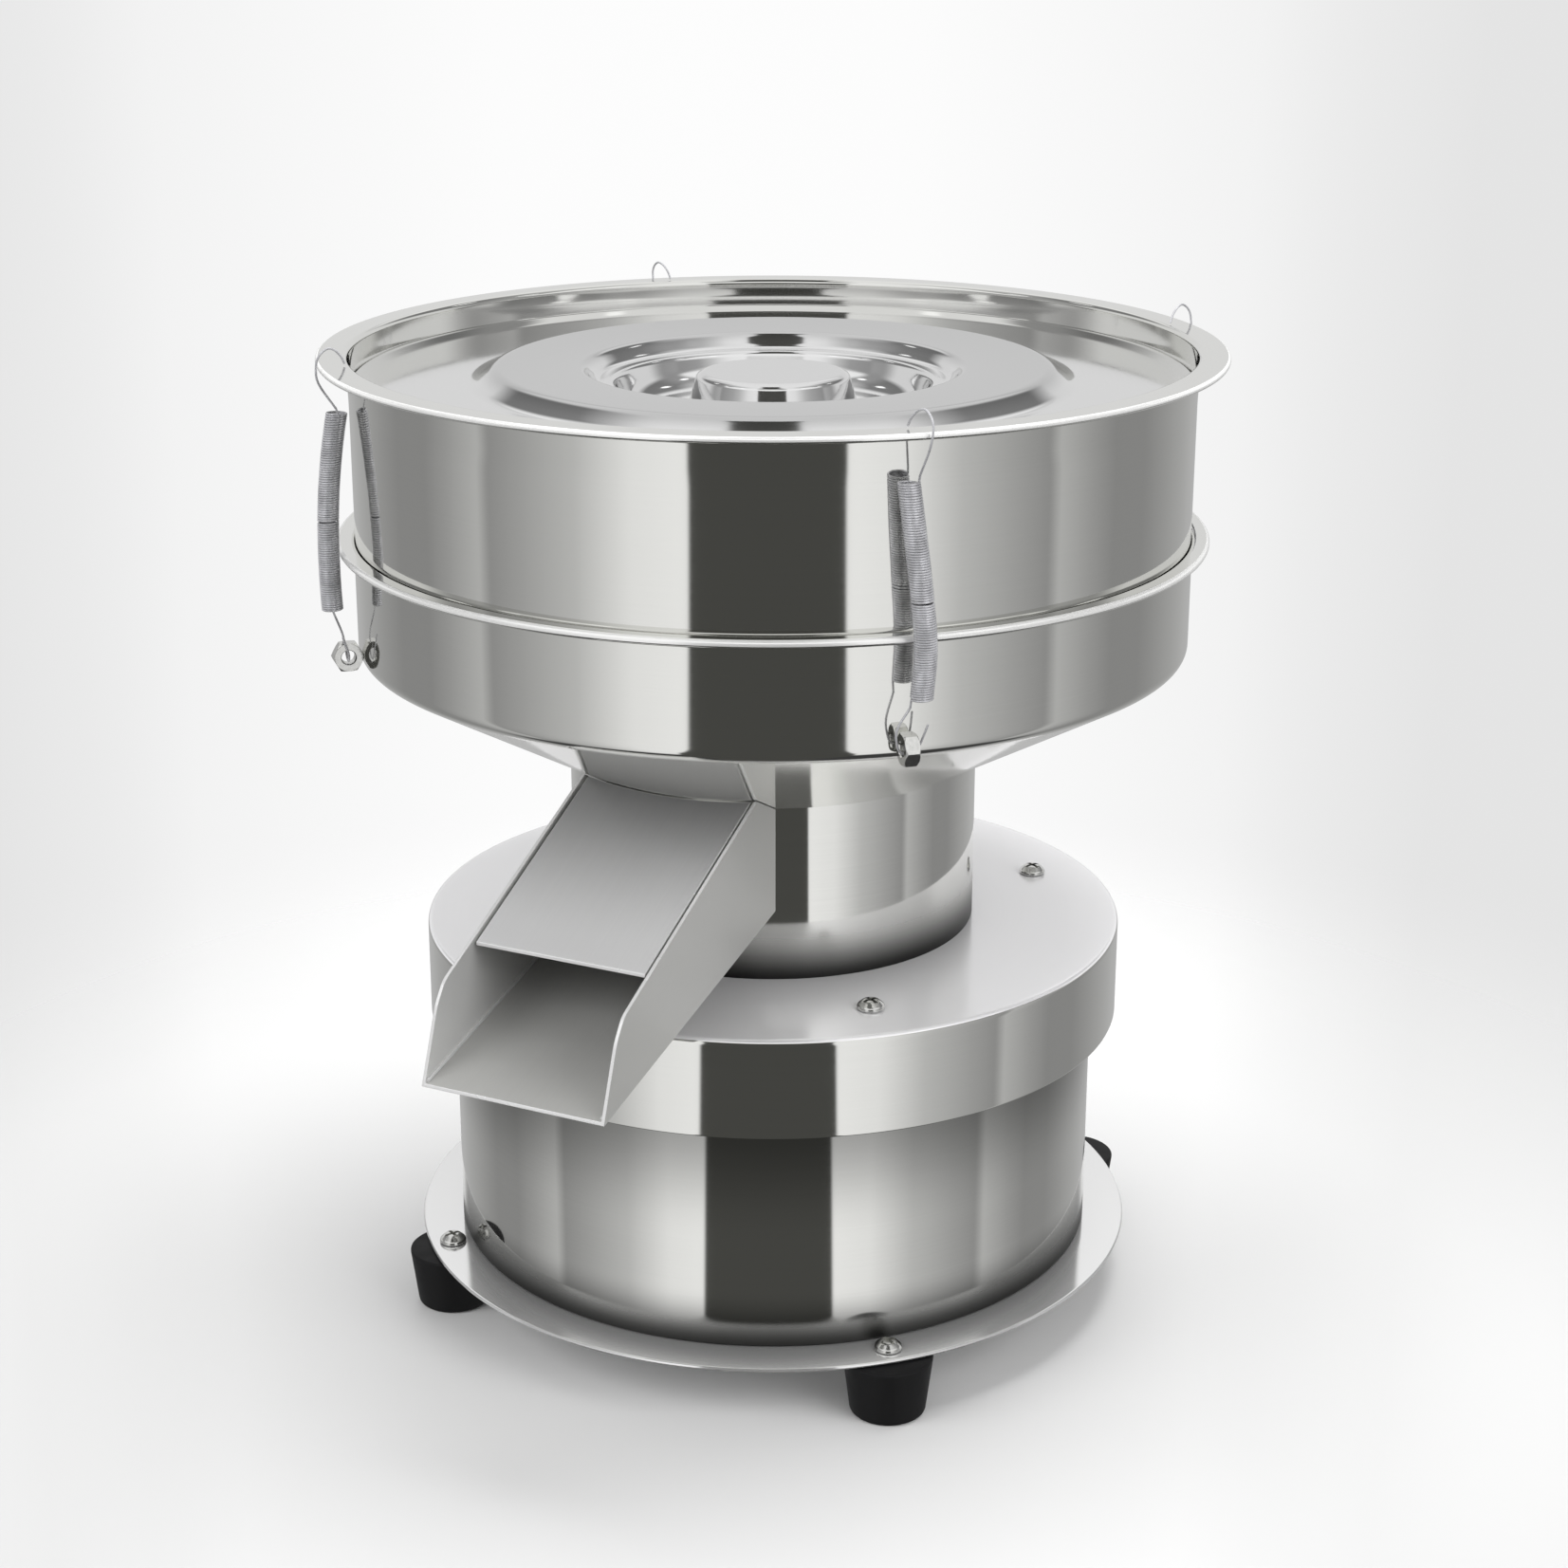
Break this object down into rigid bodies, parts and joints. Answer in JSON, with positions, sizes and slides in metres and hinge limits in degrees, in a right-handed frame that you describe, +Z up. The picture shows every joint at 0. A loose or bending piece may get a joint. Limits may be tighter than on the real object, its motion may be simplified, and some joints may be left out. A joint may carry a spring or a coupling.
{
  "type": "vibrating sieve",
  "caption": "Bench-top vibrating powder sieve: lidded round sieve held by spring hooks on a funnel bucket with a sloping outlet, over a spring-mounted drum base on rubber feet.",
  "frame": {"origin": "centre of the flat pressed panel under the base plate, on the machine's upright axis", "axes": "+Z up along the upright axis, -Y towards the outlet (the front), +X to the right seen from the front"},
  "size_m": [0.324, 0.3531, 0.3667],
  "materials": {
    "polished_steel": "polished",
    "brushed_steel": "satin",
    "mesh": "woven",
    "zinc_steel": "plated",
    "bearing_steel": "ground",
    "spring_wire": "drawn",
    "motor_paint": "satin",
    "cast_iron": "rough",
    "rubber": "matt",
    "black_plastic": "moulded"
  },
  "bodies": {
    "base": {"base_plate": "brushed_steel", "base_drum": "polished_steel", "spring_deck": "brushed_steel", "switch_bezel": "black_plastic", "cable_gland": "black_plastic", "gland_nut": "black_plastic", "foot_1": "rubber", "foot_2": "rubber", "foot_3": "rubber", "foot_4": "rubber", "foot_screw_1": "zinc_steel", "foot_screw_2": "zinc_steel", "foot_screw_3": "zinc_steel", "foot_screw_4": "zinc_steel", "spring_post_1": "zinc_steel", "spring_post_2": "zinc_steel", "spring_post_3": "zinc_steel", "spring_post_4": "zinc_steel", "support_spring_1": "spring_wire", "support_spring_2": "spring_wire", "support_spring_3": "spring_wire", "support_spring_4": "spring_wire"},
    "bucket_assembly": {"vibrating_cap": "brushed_steel", "neck": "polished_steel", "bucket": "polished_steel", "chute_body": "polished_steel", "chute_cover": "polished_steel", "discharge_plate": "brushed_steel", "motor_bracket": "motor_paint", "motor_housing": "motor_paint", "upper_bearing": "bearing_steel", "lower_bearing": "bearing_steel", "cap_screw_1": "zinc_steel", "cap_screw_2": "zinc_steel", "cap_screw_3": "zinc_steel", "cap_screw_4": "zinc_steel", "spring_cup_1": "zinc_steel", "spring_cup_2": "zinc_steel", "spring_cup_3": "zinc_steel", "spring_cup_4": "zinc_steel", "hook_nut_1": "zinc_steel", "hook_nut_2": "zinc_steel", "hook_nut_3": "zinc_steel", "hook_nut_4": "zinc_steel"},
    "rotor": {"rotor_shaft": "bearing_steel", "upper_weight": "cast_iron", "lower_weight": "cast_iron"},
    "sieve": {"sieve_ring": "polished_steel", "sieve_mesh": "mesh", "mesh_clamp_ring": "brushed_steel"},
    "lid": {"lid": "polished_steel"},
    "rocker": {"switch_rocker": "black_plastic"},
    "hook_1": {"spring_hook_1": "spring_wire"},
    "hook_2": {"spring_hook_2": "spring_wire"},
    "hook_3": {"spring_hook_3": "spring_wire"},
    "hook_4": {"spring_hook_4": "spring_wire"}
  },
  "joints": [
    {"name": "vibration", "type": "slide", "parent": "base", "child": "bucket_assembly", "axis": [0, 0, 1], "range_m": [-0.003, 0.003], "stiffness_N_per_m": 40000, "springref_m": 0.00204, "deforming": ["support_spring_1", "support_spring_2", "support_spring_3", "support_spring_4"]},
    {"name": "rotor_spin", "type": "hinge", "parent": "bucket_assembly", "child": "rotor", "pos_m": [0, 0, 0.0106], "axis": [0, 0, 1], "continuous": true},
    {"name": "sieve_lift", "type": "slide", "parent": "bucket_assembly", "child": "sieve", "axis": [0, 0, 1], "range_m": [0, 0.12]},
    {"name": "lid_lift", "type": "slide", "parent": "sieve", "child": "lid", "axis": [0, 0, 1], "range_m": [0, 0.08]},
    {"name": "rocker_tilt", "type": "hinge", "parent": "base", "child": "rocker", "pos_m": [-0.05709, 0.10737, 0.0539], "axis": [0.8829, 0.4695, 0], "range_deg": [0, 16]},
    {"name": "hook_1_swing", "type": "hinge", "parent": "bucket_assembly", "child": "hook_1", "pos_m": [0.10593, -0.11561, 0.236], "axis": [0.7373, 0.6756, 0], "range_deg": [0, 165], "deforming": ["spring_hook_1"]},
    {"name": "hook_2_swing", "type": "hinge", "parent": "bucket_assembly", "child": "hook_2", "pos_m": [0.11561, 0.10593, 0.236], "axis": [-0.6756, 0.7373, 0], "range_deg": [0, 165], "deforming": ["spring_hook_2"]},
    {"name": "hook_3_swing", "type": "hinge", "parent": "bucket_assembly", "child": "hook_3", "pos_m": [-0.10593, 0.11561, 0.236], "axis": [-0.7373, -0.6756, 0], "range_deg": [0, 165], "deforming": ["spring_hook_3"]},
    {"name": "hook_4_swing", "type": "hinge", "parent": "bucket_assembly", "child": "hook_4", "pos_m": [-0.11561, -0.10593, 0.236], "axis": [0.6756, -0.7373, 0], "range_deg": [0, 165], "deforming": ["spring_hook_4"]}
  ],
  "couplings": [
    {"joint": "hook_1_swing", "follows": "sieve_lift", "rad_per_m": 23.9},
    {"joint": "hook_2_swing", "follows": "sieve_lift", "rad_per_m": 23.9},
    {"joint": "hook_3_swing", "follows": "sieve_lift", "rad_per_m": 23.9},
    {"joint": "hook_4_swing", "follows": "sieve_lift", "rad_per_m": 23.9}
  ]
}
